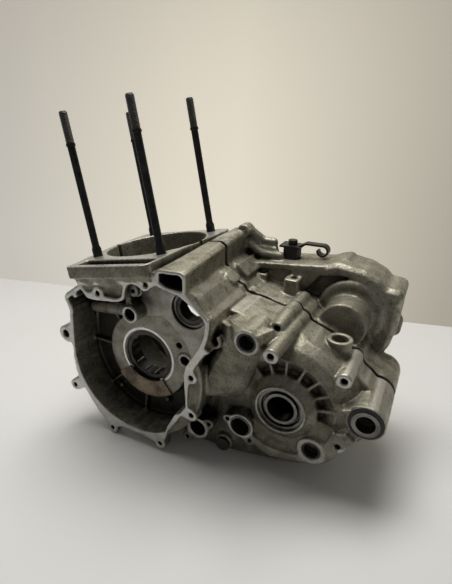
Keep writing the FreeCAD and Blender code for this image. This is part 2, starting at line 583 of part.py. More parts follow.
right_holes = [
    (-62.0, 38.0), (-72.5, -12.0), (-44.0, -60.0), (12.0, -75.2), (70.0, -77.5), (128.0, -72.5),
    (176.0, -52.0), (200.0, -12.0), (219.5, 34.0), (218.0, 73.0), (166.0, 93.0), (130.0, 84.8),
    (40.0, 78.0), (-30.0, 67.5),
]
right = join([right] + [drum(spot, 6.0, right_wall + 8, right_face) for spot in right_holes])
right = right.cut(Part.makeCompound(
    [ring(crank, snap_out_r, snap_in_r - 1, snap_y - snap_wire, snap_y)]
    + [drum(spot, case_hole_r, right_face - 18, right_face + 1) for spot in right_holes]))
print("right", right.isValid(), len(right.Solids), round(right.Volume / 1000, 1))

# Gasket between the halves
gasket = join([
    drum(crank, chamber_r + 9.5 - gasket_inset, -half_gap, half_gap),
    prism(inset(joint_gear, gasket_inset), -half_gap, half_gap),
    prism(inset(duct_joint, gasket_inset), -half_gap, half_gap),
    on_deck(box(gasket_inset - neck_front, 51 - gasket_inset, -half_gap, half_gap, -neck_drop, -deck_thick + 1)),
    on_deck(box(-56, 51.5, -half_gap, half_gap, -deck_thick + 0.5, -gasket_inset)),
])
gasket = gasket.cut(Part.makeCompound([chamber, mouth]))
gasket = gasket.cut(Part.makeCompound([balancer_room, gear_hollow, drum(pivot, pivot_bore_r + 1.5, -2, 2)]))
gasket = gasket.cut(Part.makeCompound([throat, prism(hole_joint, -2, 2)]))

# Dowel sleeves that line the halves up
dowel_r = 4.0
dowels = {"front": polar(crank, chamber_r + dowel_r + 1, 225), "rear": (204.5, -20.0)}
dowel_bore_r = 3.0
dowel_half = 7.0
sleeves = {}
for name, spot in dowels.items():
    sleeves[name] = ring(spot, dowel_r, dowel_bore_r, -dowel_half, dowel_half)
seats = Part.makeCompound([drum(spot, dowel_r, -dowel_half, dowel_half) for spot in dowels.values()])
left = left.cut(seats)
right = right.cut(seats)
gasket = gasket.cut(seats)

# Cylinder studs and their holes in the deck
stud_spots = {
    "front_left": (-stud_u, -stud_v), "rear_left": (stud_u, -stud_v),
    "front_right": (-stud_u, stud_v), "rear_right": (stud_u, stud_v),
}
studs = {}
for name, (u, v) in stud_spots.items():
    root = on_deck(join([
        Part.makeCylinder(stud_r, stud_in + 1, vec(u, v, -stud_in)),
        Part.makeCylinder(stud_collar_r + stud_relief_gap, stud_relief + 1, vec(u, v, -stud_relief)),
    ]))
    left = left.cut(root) if v < 0 else left
    right = right.cut(root) if v > 0 else right
    thread_z = stud_out - stud_thread
    studs[name] = on_deck(join([
        Part.makeCylinder(stud_r, stud_in, vec(u, v, -stud_in)),
        Part.makeCylinder(stud_collar_r, stud_collar + stud_relief, vec(u, v, -stud_relief)),
        Part.makeCone(stud_collar_r, stud_shank_r, 3.0, vec(u, v, stud_collar)),
        Part.makeCylinder(stud_shank_r, thread_z - 4, vec(u, v, 4)),
        Part.makeCylinder(stud_collar_r - 0.3, 2.5, vec(u, v, thread_z - 2.5)),
        Part.makeCylinder(stud_r, stud_thread - 1.2, vec(u, v, thread_z)),
        Part.makeCone(stud_r, stud_r - 1.2, 1.2, vec(u, v, stud_out - 1.2)),
    ]))

nodes = {
    "left_case_half": left, "right_case_half": right, "case_gasket": gasket,
    "dowel_sleeve_front": sleeves["front"], "dowel_sleeve_rear": sleeves["rear"],
}
for name, shape in studs.items():
    nodes["cylinder_stud_" + name] = shape


def roller_bearing(at, seat_r, race_r, r, pitch_r, count, cage_in, cage_out, length, y0, y1):
    """Outer ring, and a cage with its rollers, for a bearing that runs straight on its shaft."""
    outer = ring(at, seat_r, race_r, y0, y1)
    mid = (y0 + y1) / 2
    spots = [polar(at, pitch_r, 360.0 * i / count) for i in range(count)]
    rollers = [drum(spot, r, mid - length / 2, mid + length / 2) for spot in spots]
    cage = ring(at, cage_out, cage_in, y0 + 0.6, y1 - 0.6).cut(Part.makeCompound(rollers))
    return outer, cage, Part.makeCompound(rollers)


def ball_bearing(at, seat_r, outer_in, inner_r, bore_r, r, count, y0, y1):
    """Outer ring, inner ring, and a cage with its balls."""
    mid = (y0 + y1) / 2
    pitch = (outer_in + inner_r) / 2
    groove = Part.makeTorus(pitch, r + play, vec(at[0], mid, at[1]), vec(0, 1, 0))
    outer = ring(at, seat_r, outer_in, y0, y1).cut(groove)
    inner = ring(at, inner_r, bore_r, y0, y1).cut(groove)
    balls = []
    for i in range(count):
        x, z = polar(at, pitch, 360.0 * i / count)
        balls.append(Part.makeSphere(r, vec(x, mid, z)))
    pockets = []
    for i in range(count):
        out = vec(math.cos(2 * math.pi * i / count), 0, math.sin(2 * math.pi * i / count))
        start = vec(at[0], mid, at[1]) + out * (inner_r * 0.7)
        pockets.append(Part.makeCylinder(r, pitch, start, out))
    cage = ring(at, outer_in - 0.7, inner_r + 0.7, mid - r - 0.9, mid + r + 0.9).cut(Part.makeCompound(pockets))
    return outer, inner, cage, Part.makeCompound(balls)


# Main bearings and their snap rings
main_y0 = chamber_half + main_lip
main_y1 = snap_y - snap_wire
for side, sign in (("left", -1), ("right", 1)):
    y0, y1 = sorted((sign * main_y0, sign * main_y1))
    outer, cage, rollers = roller_bearing(
        crank, main_seat_r, main_race_r, roller_r, roller_pitch_r, roller_count,
        cage_in_r, cage_out_r, roller_length, y0, y1)
    nodes["main_bearing_ring_" + side] = outer
    nodes["main_bearing_cage_" + side] = cage
    nodes["main_bearing_rollers_" + side] = rollers
    s0, s1 = sorted((sign * main_y1, sign * snap_y))
    snap = ring(crank, snap_out_r, snap_in_r, s0, s1).cut(sector(crank, 45.0, -138.0, -58.0, s0 - 1, s1 + 1))
    lugs = [drum(polar(crank, snap_in_r + 0.2, a), 2.4, s0, s1) for a in (-56.0, -140.0)]
    lug_holes = [drum(polar(crank, snap_in_r - 0.2, a), 0.9, s0 - 1, s1 + 1) for a in (-56.0, -140.0)]
    snap = join([snap] + lugs).common(drum(crank, snap_out_r, s0, s1)).cut(Part.makeCompound(lug_holes))
    nodes["snap_ring_" + side] = snap

# Oil guide plate under the left main bearing
plate_out_r = 46.0
plate_thick = 1.8
plate = ring(crank, plate_out_r, snap_out_r + 0.6, -bearing_face - plate_thick, -bearing_face)
nodes["oil_guide_plate"] = plate.common(sector(crank, 70.0, -143.0, -52.0, -bearing_face - 9, -bearing_face))

# Balancer shaft bearings
for side, sign in (("left", -1), ("right", 1)):
    y0, y1 = sorted((sign * bearing_face, sign * (bearing_face - balancer_width)))
    outer, cage, rollers = roller_bearing(
        balancer, balancer_seat_r, balancer_race_r, 1.5, balancer_race_r - 1.5 - play, 14,
        balancer_cage_in, balancer_race_r - 0.8, 8.0, y0, y1)
    nodes["balancer_bearing_ring_" + side] = outer
    nodes["balancer_bearing_cage_" + side] = cage
    nodes["balancer_bearing_rollers_" + side] = rollers

# Output shaft bearing on the left, gearbox bearings inside
out_y1 = -output_face + output_sink + output_width
outer, inner, cage, balls = ball_bearing(
    output, output_seat_r, output_outer_in, output_inner_r, output_bore_r, ball_r, ball_count,
    out_y1 - output_width, out_y1)
nodes["output_bearing_outer"] = outer
nodes["output_bearing_inner"] = inner
nodes["output_bearing_cage"] = cage
nodes["output_bearing_balls"] = balls
nodes["output_bearing_right"] = ring(output, shaft_seat_r, shaft_bore_r + 4, gear_floor - 10, gear_floor - 10 + shaft_width)
nodes["main_shaft_bearing_right"] = ring(
    main_shaft, shaft_seat_r, shaft_bore_r + 2, right_wall + 8 - shaft_width, right_wall + 8)
nodes["main_shaft_bush_left"] = ring(main_shaft, 13.0, shaft_bore_r, -gear_floor - 5, -gear_floor + 7)

# Bushes, seals and caps
nodes["shift_shaft_seal"] = ring(shift_shaft, 8.4, 6.7, -76, -77 + 15)
nodes["chain_guide_pin"] = ring(guide_pin, guide_pin_r, guide_pin_bore, -72.5, -58)
for side, y0, y1 in (("left", -pivot_face, -pivot_face + pivot_seal_depth),
                     ("right", pivot_far - pivot_seal_depth, pivot_far)):
    proud = -1.0 if side == "left" else 0.0
    nodes["pivot_seal_" + side] = ring(pivot, pivot_seal_r, pivot_bush_r, y0, y1)
    nodes["pivot_bush_" + side] = ring(pivot, pivot_bush_r, pivot_bore_r, y0 + proud, y1 + 1 + proud * 1)
nodes["filter_sleeve"] = ring(filter_rear, 10.2, 9.3, -60.4, -44)
nodes["rubber_plug"] = join([drum(plug, 5.0, -52, -44), drum(plug, 7.0, -55.5, -52)])
nodes["screen_seal"] = ring(screen, 8.6, 7.0, -57.4, -50)

# Cable guide with its bolt and rubber block
strip_top = block_top + strip_thick
bolt_hole = Part.makeCylinder(guide_bolt_r, 40, vec(bolt_at[0], bolt_at[1], pad_top - 5))
strip = join([
    box(97, 119, 54, 72, block_top, strip_top),
    prism([(116, block_top), (124, 105.2), (141, 105.2), (141, 107.2), (123, 107.2), (115, strip_top)], 58, 67),
    ring((141, 101.0), 6.2, 4.2, 58, 67).cut(box(132, 141, 50, 70, 101, 105.2)),
])
hexagon = [polar((bolt_at[0], bolt_at[1]), 5.0, 60.0 * i) for i in range(6)]
nodes["guide_block"] = box(101, 116, 56, 70, pad_top, block_top).cut(bolt_hole)
nodes["cable_guide"] = strip.cut(bolt_hole)
nodes["guide_bolt"] = join([
    flat(hexagon, strip_top, strip_top + 5),
    Part.makeCylinder(guide_bolt_r, strip_top - pad_top + 5, vec(bolt_at[0], bolt_at[1], pad_top - 5)),
])

# Everything to the row's origin: the middle of the underside
whole = Part.makeCompound(list(nodes.values())).optimalBoundingBox(False)
move = vec(-(whole.XMin + whole.XMax) / 2, -(whole.YMin + whole.YMax) / 2, -whole.ZMin)
print("move", round(move.x, 3), round(move.y, 3), round(move.z, 3))
for name, shape in nodes.items():
    shape = shape.copy()
    shape.translate(move)
    print(name, shape.isValid(), len(shape.Solids), round(shape.Volume / 1000, 2))
    shape.exportStep("parts/" + name + ".step")
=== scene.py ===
import json
import math

import bmesh
import bpy
import numpy as np
from mathutils import Matrix, Vector
from mathutils.bvhtree import BVHTree


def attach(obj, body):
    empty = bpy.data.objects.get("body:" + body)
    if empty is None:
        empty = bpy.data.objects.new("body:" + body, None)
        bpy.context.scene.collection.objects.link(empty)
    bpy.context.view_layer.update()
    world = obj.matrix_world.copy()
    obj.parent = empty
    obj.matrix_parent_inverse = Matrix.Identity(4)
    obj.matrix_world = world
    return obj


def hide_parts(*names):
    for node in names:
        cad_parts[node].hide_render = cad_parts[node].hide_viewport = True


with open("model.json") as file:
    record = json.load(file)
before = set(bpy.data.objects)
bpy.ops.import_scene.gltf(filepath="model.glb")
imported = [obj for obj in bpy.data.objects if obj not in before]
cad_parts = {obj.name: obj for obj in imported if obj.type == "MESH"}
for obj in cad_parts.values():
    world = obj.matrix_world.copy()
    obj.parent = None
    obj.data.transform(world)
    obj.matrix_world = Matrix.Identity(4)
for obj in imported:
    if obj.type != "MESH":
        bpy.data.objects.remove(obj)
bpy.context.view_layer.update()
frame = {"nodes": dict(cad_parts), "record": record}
scene = bpy.context.scene

# The casting was drawn from the crank axis: its place in the row frame, in metres
ORIGIN = np.array([-0.0710, 0.0018, 0.0890])
MM = 0.001


# The cylinder leans forward by LEAN: its axis, and where that axis meets the deck's top face
LEAN = math.radians(10.0)
DECK_HEIGHT = 105


def at(x, y, z):
    """A point given in millimetres from the crank axis, in the row frame."""
    return Vector((x, y, z)) * MM + Vector(ORIGIN)


AXIS = Vector((-math.sin(LEAN), 0.0, math.cos(LEAN)))
ACROSS = Vector((math.cos(LEAN), 0, math.sin(LEAN)))
DECK = at(-DECK_HEIGHT * math.sin(LEAN), 0, DECK_HEIGHT * math.cos(LEAN))

# Places of round features, as (x, z) from the crank axis
OUTPUT = (145.8, -10.1)
BALANCER = (52.4, 62.7)
SHIFT = (119.6, 57.6)
PIVOT = (216.5, -4.5)
PILLAR = (-2.1, 54.0)
FRONT_BARREL = (135.0, 61.5)
REAR_BARREL = (142.0, 52.8)
OIL_BORE = (45.8, 7.5)


# Camera, at the photograph's angle
def add_camera():
    data = bpy.data.cameras.new("camera")
    data.sensor_width = 36.0
    data.lens = 26.41
    data.clip_start = 0.01
    data.clip_end = 20.0
    cam = bpy.data.objects.new("camera", data)
    scene.collection.objects.link(cam)
    right = Vector((0.89121, 0.45356, 0.00547))
    up = Vector((-0.17676, 0.33616, 0.92507))
    back = Vector((0.41773, -0.82540, 0.37976))
    turn = Matrix((right, up, back)).transposed().to_4x4()
    cam.matrix_world = Matrix.Translation(at(241.6, -353.5, 226.1)) @ turn
    scene.camera = cam


# Small helpers for node materials
class Shader:
    def __init__(self, name):
        self.mat = bpy.data.materials.new(name)
        self.mat.use_nodes = True
        self.nodes = self.mat.node_tree.nodes
        self.links = self.mat.node_tree.links
        self.bsdf = self.nodes["Principled BSDF"]
        self.coords = self.nodes.new("ShaderNodeTexCoord").outputs["Object"]

    def put(self, socket, value):
        if isinstance(value, bpy.types.NodeSocket):
            self.links.new(value, socket)
        elif isinstance(value, (tuple, list)) and len(value) == 3 and socket.type == "RGBA":
            socket.default_value = (*value, 1.0)
        else:
            socket.default_value = value

    def add(self, kind, inputs=(), **settings):
        node = self.nodes.new("ShaderNode" + kind)
        for key, value in settings.items():
            setattr(node, key, value)
        for key, value in dict(inputs).items():
            self.put(node.inputs[key], value)
        return node

    def noise(self, scale, detail=3.0, roughness=0.55, distortion=0.0):
        node = self.add("TexNoise", {
            "Vector": self.coords, "Scale": scale, "Detail": detail,
            "Roughness": roughness, "Distortion": distortion})
        return node.outputs["Fac"]

    def math(self, operation, a, b=0.0):
        return self.add("Math", {0: a, 1: b}, operation=operation).outputs[0]

    def remap(self, value, low, high, to_low=0.0, to_high=1.0):
        node = self.add("MapRange", {
            "Value": value, "From Min": low, "From Max": high, "To Min": to_low, "To Max": to_high})
        node.clamp = True
        return node.outputs["Result"]

    def mix(self, factor, a, b):
        node = self.nodes.new("ShaderNodeMix")
        node.data_type = "RGBA"
        self.put(node.inputs[0], factor)
        self.put(node.inputs[6], a)
        self.put(node.inputs[7], b)
        return node.outputs[2]

    def attribute(self, name):
        return self.add("Attribute", attribute_name=name, attribute_type="GEOMETRY").outputs["Fac"]

    def bump(self, height, strength, distance, normal=None):
        inputs = {"Height": height, "Strength": strength, "Distance": distance}
        if normal is not None:
            inputs["Normal"] = normal
        return self.add("Bump", inputs).outputs["Normal"]

    def distance_to(self, point):
        node = self.add("VectorMath", {0: self.coords, 1: tuple(point)}, operation="DISTANCE")
        return node.outputs["Value"]

    def finish(self, color, roughness, metallic, normal=None, **more):
        self.put(self.bsdf.inputs["Base Color"], color)
        self.put(self.bsdf.inputs["Roughness"], roughness)
        self.put(self.bsdf.inputs["Metallic"], metallic)
        if normal is not None:
            self.put(self.bsdf.inputs["Normal"], normal)
        for key, value in more.items():
            self.put(self.bsdf.inputs[key], value)
        return self.mat


def cast_aluminium():
    s = Shader("cast_aluminium")
    machined = s.attribute("machined")
    edge = s.attribute("edge")
    near = s.attribute("near")
    far = s.attribute("far")
    broad = s.noise(14.0, 3.0)
    mottle = s.noise(90.0, 4.0, 0.65)
    fine = s.noise(620.0, 4.0, 0.75)
    place = s.add("SeparateXYZ", {0: s.coords})
    depth, height = place.outputs[1], place.outputs[2]
    clean = s.mix(s.remap(broad, 0.35, 0.65), (0.28, 0.267, 0.205), (0.49, 0.472, 0.38))
    clean = s.mix(s.remap(mottle, 0.46, 0.66, 0.0, 0.85), clean, (0.17, 0.152, 0.108))
    clean = s.mix(s.remap(fine, 0.54, 0.70, 0.0, 0.6), clean, (0.66, 0.64, 0.56))
    pits = s.remap(s.noise(520.0, 4.0, 0.8), 0.555, 0.63)
    clean = s.mix(s.math("MULTIPLY", pits, 0.85), clean, (0.05, 0.045, 0.035))
    # Painted shade: cast faces turned to the front (-Y) are darkened, by an amount set by the broad noise
    facing_front = s.add("VectorMath", {0: s.add("NewGeometry").outputs["Normal"], 1: (0.0, -1.0, 0.0)},
                    operation="DOT_PRODUCT").outputs["Value"]
    front_painted_shade = s.math("MULTIPLY", s.remap(facing_front, 0.55, 0.95), s.remap(broad, 0.3, 0.6, 0.35, 0.65))
    clean = s.mix(front_painted_shade, clean, (0.105, 0.097, 0.078))
    worn = s.remap(edge, 0.56, 0.78)
    clean = s.mix(s.math("MULTIPLY", worn, 0.55), clean, (0.66, 0.64, 0.58))
    # Cut faces are brighter, with faint tool lines
    lines = s.add("TexWave", {
        "Vector": s.coords, "Scale": 700.0, "Distortion": 1.5, "Detail": 2.0, "Detail Scale": 2.0},
        wave_type="BANDS", bands_direction="DIAGONAL").outputs["Fac"]
    cut = s.mix(s.remap(mottle, 0.35, 0.7), (0.58, 0.575, 0.545), (0.42, 0.41, 0.38))
    color = s.mix(machined, clean, cut)
    # Oil and road dirt low on the case and round the output shaft; in corners, darkening from the near
    # occlusion mask that is partly dirt and partly painted shade
    low = s.remap(height, 0.075, 0.012)
    shaft = s.remap(s.distance_to(at(150, -60, -22)), 0.075, 0.03)
    film = s.math("MAXIMUM", low, shaft)
    film = s.math("MULTIPLY", film, s.remap(s.noise(45.0, 5.0, 0.7, distortion=0.6), 0.36, 0.62, 0.0, 0.85))
    # Painted shade in corners, mixed with dirt: points hemmed in close by are darkened
    corner = s.math("MULTIPLY", s.remap(near, 0.22, 0.62), s.remap(mottle, 0.25, 0.6, 0.55, 1.0))
    dirt_and_shade = s.math("MAXIMUM", film, corner)
    dirt_and_shade = s.math("MULTIPLY", dirt_and_shade, s.remap(machined, 0.0, 1.0, 1.0, 0.35))
    color = s.mix(s.math("MULTIPLY", dirt_and_shade, 0.85), color, (0.055, 0.043, 0.028))
    # The joint line is darkened: partly dirt in the joint, partly painted shade of the groove
    seam_dirt_and_shade = s.remap(s.math("ABSOLUTE", s.math("SUBTRACT", depth, ORIGIN[1])), 0.0021, 0.0028, 1.0, 0.0)
    seam_dirt_and_shade = s.math("MULTIPLY", seam_dirt_and_shade, s.remap(s.noise(120.0, 3.0), 0.3, 0.55, 0.65, 1.0))
    color = s.mix(seam_dirt_and_shade, color, (0.020, 0.017, 0.013))
    # Inside rooms the skin is darkened: partly by oil, partly painted shade in the deep hollows and on the
    # cavity floor
    left_room = s.remap(s.distance_to(at(5, -62, 10)), 0.112, 0.098)
    room = s.math("MAXIMUM", left_room, s.remap(depth, 0.044, 0.050))
    room_oil_and_shade = s.math("MULTIPLY", s.remap(far, 0.36, 0.72), s.remap(machined, 0.0, 0.6, 1.0, 0.25))
    room_oil_and_shade = s.math("MULTIPLY", room_oil_and_shade, room)
    floor_oil_and_shade = s.remap(s.distance_to(at(0, -44, 0)), 0.080, 0.072)
    floor_oil_and_shade = s.math("MULTIPLY", s.remap(depth, -0.0495, -0.0455), floor_oil_and_shade)
    room_oil_and_shade = s.math("MAXIMUM", room_oil_and_shade, s.math("MULTIPLY", floor_oil_and_shade, 0.9))
    color = s.mix(s.math("MULTIPLY", room_oil_and_shade, 0.95), color, (0.013, 0.014, 0.014))
    rough = s.mix(machined, s.remap(mottle, 0.35, 0.65, 0.42, 0.62), s.remap(lines, 0.0, 1.0, 0.27, 0.36))
    rough = s.mix(s.math("MULTIPLY", dirt_and_shade, 0.5), rough, (0.36, 0.36, 0.36))
    sand = s.math("ADD", s.math("MULTIPLY", fine, 0.6), s.math("MULTIPLY", s.noise(2200.0, 2.0), 0.4))
    normal = s.bump(sand, s.remap(machined, 0.0, 1.0, 0.42, 0.05), 0.0005)
    normal = s.bump(s.noise(260.0, 4.0, 0.65), s.remap(machined, 0.0, 1.0, 0.55, 0.0), 0.0009, normal)
    return s.finish(color, rough, 0.78, normal)


def steel(name, color, dark, roughness):
    """Ground or matt steel with faint streaks and a film of oil."""
    s = Shader(name)
    mottle = s.noise(120.0, 4.0, 0.6)
    film = s.noise(30.0, 3.0, 0.6, distortion=0.4)
    tone = s.mix(s.remap(mottle, 0.35, 0.7), color, dark)
    tone = s.mix(s.remap(film, 0.45, 0.75, 0.0, 0.5), tone, (0.09, 0.07, 0.05))
    rough = s.remap(film, 0.3, 0.7, roughness, roughness + 0.14)
    normal = s.bump(s.noise(1500.0, 2.0), 0.10, 0.0002)
    return s.finish(tone, rough, 0.95, normal)


def black_oxide():
    s = Shader("black_oxide")
    mottle = s.noise(150.0, 4.0, 0.65)
    worn = s.remap(s.noise(60.0, 5.0, 0.7), 0.55, 0.75, 0.0, 0.6)
    tone = s.mix(s.remap(mottle, 0.35, 0.7), (0.012, 0.012, 0.013), (0.035, 0.034, 0.033))
    tone = s.mix(worn, tone, (0.07, 0.065, 0.058))
    tone = s.mix(s.math("MULTIPLY", s.attribute("crest"), 0.8), tone, (0.13, 0.126, 0.12))
    rough = s.remap(mottle, 0.3, 0.7, 0.34, 0.5)
    normal = s.bump(s.noise(1200.0, 3.0), 0.12, 0.0002)
    return s.finish(tone, rough, 0.6, normal)


def rubber():
    s = Shader("rubber")
    dust = s.remap(s.noise(200.0, 4.0, 0.7), 0.45, 0.75, 0.0, 0.35)
    tone = s.mix(dust, (0.014, 0.014, 0.014), (0.07, 0.064, 0.055))
    normal = s.bump(s.noise(900.0, 2.0), 0.18, 0.0003)
    return s.finish(tone, s.remap(dust, 0.0, 0.35, 0.55, 0.75), 0.0, normal)


def gasket_sheet():
    s = Shader("gasket_sheet")
    fibre = s.noise(700.0, 4.0, 0.7)
    tone = s.mix(s.remap(fibre, 0.35, 0.7), (0.010, 0.010, 0.010), (0.035, 0.033, 0.030))
    return s.finish(tone, s.remap(fibre, 0.3, 0.7, 0.6, 0.8), 0.0, s.bump(fibre, 0.2, 0.0002))


def tan_sheet():
    s = Shader("tan_sheet")
    stain = s.noise(70.0, 4.0, 0.65, distortion=0.5)
    tone = s.mix(s.remap(stain, 0.35, 0.62), (0.30, 0.235, 0.155), (0.10, 0.078, 0.055))
    normal = s.bump(s.noise(800.0, 3.0), 0.15, 0.0002)
    return s.finish(tone, s.remap(stain, 0.3, 0.7, 0.38, 0.55), 0.35, normal)


def painted_black():
    s = Shader("painted_black")
    chips = s.remap(s.noise(170.0, 5.0, 0.7), 0.60, 0.68)
    tone = s.mix(s.noise(60.0, 3.0), (0.018, 0.017, 0.015), (0.040, 0.036, 0.031))
    tone = s.mix(s.math("MULTIPLY", chips, 0.7), tone, (0.20, 0.15, 0.10))
    normal = s.bump(s.noise(700.0, 3.0), 0.2, 0.0003)
    return s.finish(tone, s.remap(chips, 0.0, 1.0, 0.42, 0.6), 0.45, normal)


# Geometry: the castings, remade with rounded cast edges
def link(name, mesh):
    obj = bpy.data.objects.new(name, mesh)
    scene.collection.objects.link(obj)
    return obj


def arrays(mesh):
    co = np.empty(len(mesh.vertices) * 3, np.float32)
    mesh.vertices.foreach_get("co", co)
    edges = np.empty(len(mesh.edges) * 2, np.int32)
    mesh.edges.foreach_get("vertices", edges)
    return co.reshape(-1, 3).astype(float), edges.reshape(-1, 2)


def neighbour_mean(co, edges, count):
    total = np.zeros_like(co)
    np.add.at(total, edges[:, 0], co[edges[:, 1]])
    np.add.at(total, edges[:, 1], co[edges[:, 0]])
    return total / np.maximum(count, 1)[:, None]


def with_modifier(obj, kind, **settings):
    """Applies one modifier to a piece's mesh."""
    modifier = obj.modifiers.new("work", kind)
    for key, value in settings.items():
        setattr(modifier, key, value)
    graph = bpy.context.evaluated_depsgraph_get()
    mesh = bpy.data.meshes.new_from_object(obj.evaluated_get(graph))
    obj.modifiers.clear()
    old = obj.data
    obj.data = mesh
    bpy.data.meshes.remove(old)


def form(verts, faces):
    """A closed solid as a mesh, its points in millimetres from the crank axis."""
    mesh = bpy.data.meshes.new("form")
    mesh.from_pydata([at(*v) for v in verts], [], faces)
    work = bmesh.new()
    work.from_mesh(mesh)
    bmesh.ops.recalc_face_normals(work, faces=work.faces)
    work.to_mesh(mesh)
    work.free()
    return mesh


def loft(points0, y0, points1, y1):
    """A solid between two (x, z) outlines of as many points."""
    n = len(points0)
    verts = [(x, y0, z) for x, z in points0] + [(x, y1, z) for x, z in points1]
    faces = [tuple(range(n)), tuple(range(2 * n - 1, n - 1, -1))]
    faces += [(i, n + i, n + (i + 1) % n, (i + 1) % n) for i in range(n)]
    return form(verts, faces)


def prism(points, y0, y1):
    return loft(points, y0, points, y1)


def rod(a, b, r0, r1=None, sides=40):
    """A round bar or cone between two points."""
    a, b = Vector(a), Vector(b)
    turn = (b - a).to_track_quat("Z", "Y")
    verts = []
    for end, r in ((a, r0), (b, r0 if r1 is None else r1)):
        for i in range(sides):
            angle = 2 * math.pi * i / sides
            verts.append(tuple(end + turn @ Vector((r * math.cos(angle), r * math.sin(angle), 0))))
    faces = [tuple(range(sides)), tuple(range(2 * sides - 1, sides - 1, -1))]
    faces += [(i, sides + i, sides + (i + 1) % sides, (i + 1) % sides) for i in range(sides)]
    return form(verts, faces)


def drum(place, r, y0, y1, r_back=None):
    return rod((place[0], y0, place[1]), (place[0], y1, place[1]), r, r_back)


def stepped(place, rings, sides=40):
    """A round bore along Y whose radius changes in steps, from (radius, y) rings."""
    verts = []
    for r, y in rings:
        for i in range(sides):
            angle = 2 * math.pi * i / sides
            verts.append((place[0] + r * math.cos(angle), y, place[1] + r * math.sin(angle)))
    last = len(verts)
    faces = [tuple(range(sides)), tuple(range(last - 1, last - sides - 1, -1))]
    for start in range(0, last - sides, sides):
        for i in range(sides):
            j = (i + 1) % sides
            faces.append((start + i, start + sides + i, start + sides + j, start + j))
    return form(verts, faces)


def turned(x, z, profile, start=0.0, stop=359.0, count=72):
    """A closed (radius, y) outline turned about an axis along Y, between two angles."""
    sides = len(profile)
    verts = []
    for i in range(count + 1):
        a = math.radians(start + (stop - start) * i / count)
        verts += [(x + r * math.cos(a), y, z + r * math.sin(a)) for r, y in profile]
    faces = [tuple(range(sides)), tuple(range((count + 1) * sides - 1, count * sides - 1, -1))]
    for i in range(count):
        for j in range(sides):
            m = (j + 1) % sides
            faces.append((i * sides + j, i * sides + m, (i + 1) * sides + m, (i + 1) * sides + j))
    return form(verts, faces)


def merge(name, meshes):
    work = bmesh.new()
    for mesh in meshes:
        work.from_mesh(mesh)
    whole = bpy.data.meshes.new(name)
    work.to_mesh(whole)
    work.free()
    return whole


def carved(mesh, cutter):
    obj = link("carved", mesh)
    with_modifier(obj, "BOOLEAN", operation="DIFFERENCE", solver="EXACT", object=cutter)
    mesh = obj.data
    bpy.data.objects.remove(obj)
    return mesh


# Cut faces square to the crank axis: distance from the joint plane, how bright the cut is, and the round
# places (x, z, radius) that they hold for, or None for the whole plane
CUT_FACES = [
    (-79.0, 1.0, None),
    (82.0, 1.0, None),
    (-0.9, 0.0, None),
    (0.9, 0.0, None),
    (-55.0, 0.35, [(30, 50, 70)]),
    (-66.0, 0.0, [(98, 25, 60)]),
    (-52.0, 0.15, [(0, 0, 62), (*BALANCER, 24.5)]),
    (-54.0, 0.6, [(*OIL_BORE, 9)]),
    (52.0, 0.5, [(0, 0, 45), (*BALANCER, 24.5)]),
    (-61.0, 0.45, [(*OUTPUT, 23.6)]),
    (-77.0, 0.6, [(*SHIFT, 11.5)]),
    (-62.0, 0.8, [(63.0, -59.5, 12.5)]),
    (-72.0, 1.0, [(*PILLAR, 9.5)]),
    (-60.0, 0.8, [(108.5, -41.5, 13)]),
    (-80.0, 0.9, [(*REAR_BARREL, 7)]),
    (-57.0, 0.9, [(197.4, -31.2, 7)]),
    (-52.0, 0.2, [(*PIVOT, 16.5), (87.3, -75.0, 9.5)]),
    (-58.0, 0.5, [(175.6, -44.7, 13.5)]),
    (-48.0, 0.6, [(*FRONT_BARREL, 6)]),
    (-49.0, 0.9, [(194.8, 27.6, 7)]),
    (-70.0, 0.7, [(5.4, 79.7, 8)]),
    (42.0, 0.6, [(*PIVOT, 16.5)]),
]
DECK_CUT = 0.8
CUT_SLACK = 0.45


def machined_weight(co):
    """How bright the cut is at each point, and 1 where a point lies on a cut face at all."""
    p = (co - ORIGIN) / MM
    bright = np.zeros(len(p))
    held = np.zeros(len(p))
    for y, cut, spots in CUT_FACES:
        near = np.abs(p[:, 1] - y) < CUT_SLACK
        for x, z, r in spots or [(0, 0, 1000)]:
            inside = near & (np.hypot(p[:, 0] - x, p[:, 2] - z) < r)
            bright[inside] = cut
            held[inside] = 1
    level = np.abs((co - np.array(DECK)) @ np.array(AXIS) / MM) < CUT_SLACK
    bright[level] = DECK_CUT
    held[level] = 1
    return bright, held


NEAR_REACH = 0.010
FAR_REACH = 0.07


def enclosure(mesh, co, normals, rays=10):
    """How hemmed in each point is, near by and far off, from rays cast off the surface."""
    faces = [tuple(p.vertices) for p in mesh.polygons]
    tree = BVHTree.FromPolygons([tuple(c) for c in co], faces)
    rng = np.random.default_rng(7)
    helper = np.where(np.abs(normals[:, 2:3]) < 0.9, [[0.0, 0.0, 1.0]], [[1.0, 0.0, 0.0]])
    side = np.cross(normals, helper)
    side /= np.maximum(np.linalg.norm(side, axis=1, keepdims=True), 1e-9)
    other = np.cross(normals, side)
    start = co + normals * 0.0005
    near = np.zeros(len(co))
    far = np.zeros(len(co))
    for k in range(rays):
        turn = rng.uniform(0, 2 * math.pi, len(co))
        lift = math.sqrt((k + 0.5) / rays)
        flat = math.sqrt(1 - lift * lift)
        way = normals * lift + side * (flat * np.cos(turn))[:, None] + other * (flat * np.sin(turn))[:, None]
        hits = [tree.ray_cast(a, b, FAR_REACH)[3] for a, b in zip(start.tolist(), way.tolist())]
        reach = np.array([1.0 if h is None else h for h in hits])
        near += (reach < NEAR_REACH) / rays
        far += (reach < FAR_REACH) / rays
    return near, far


def smooth_values(values, edges, count, rounds):
    for _ in range(rounds):
        values = 0.5 * values + 0.5 * neighbour_mean(values[:, None], edges, count)[:, 0]
    return values


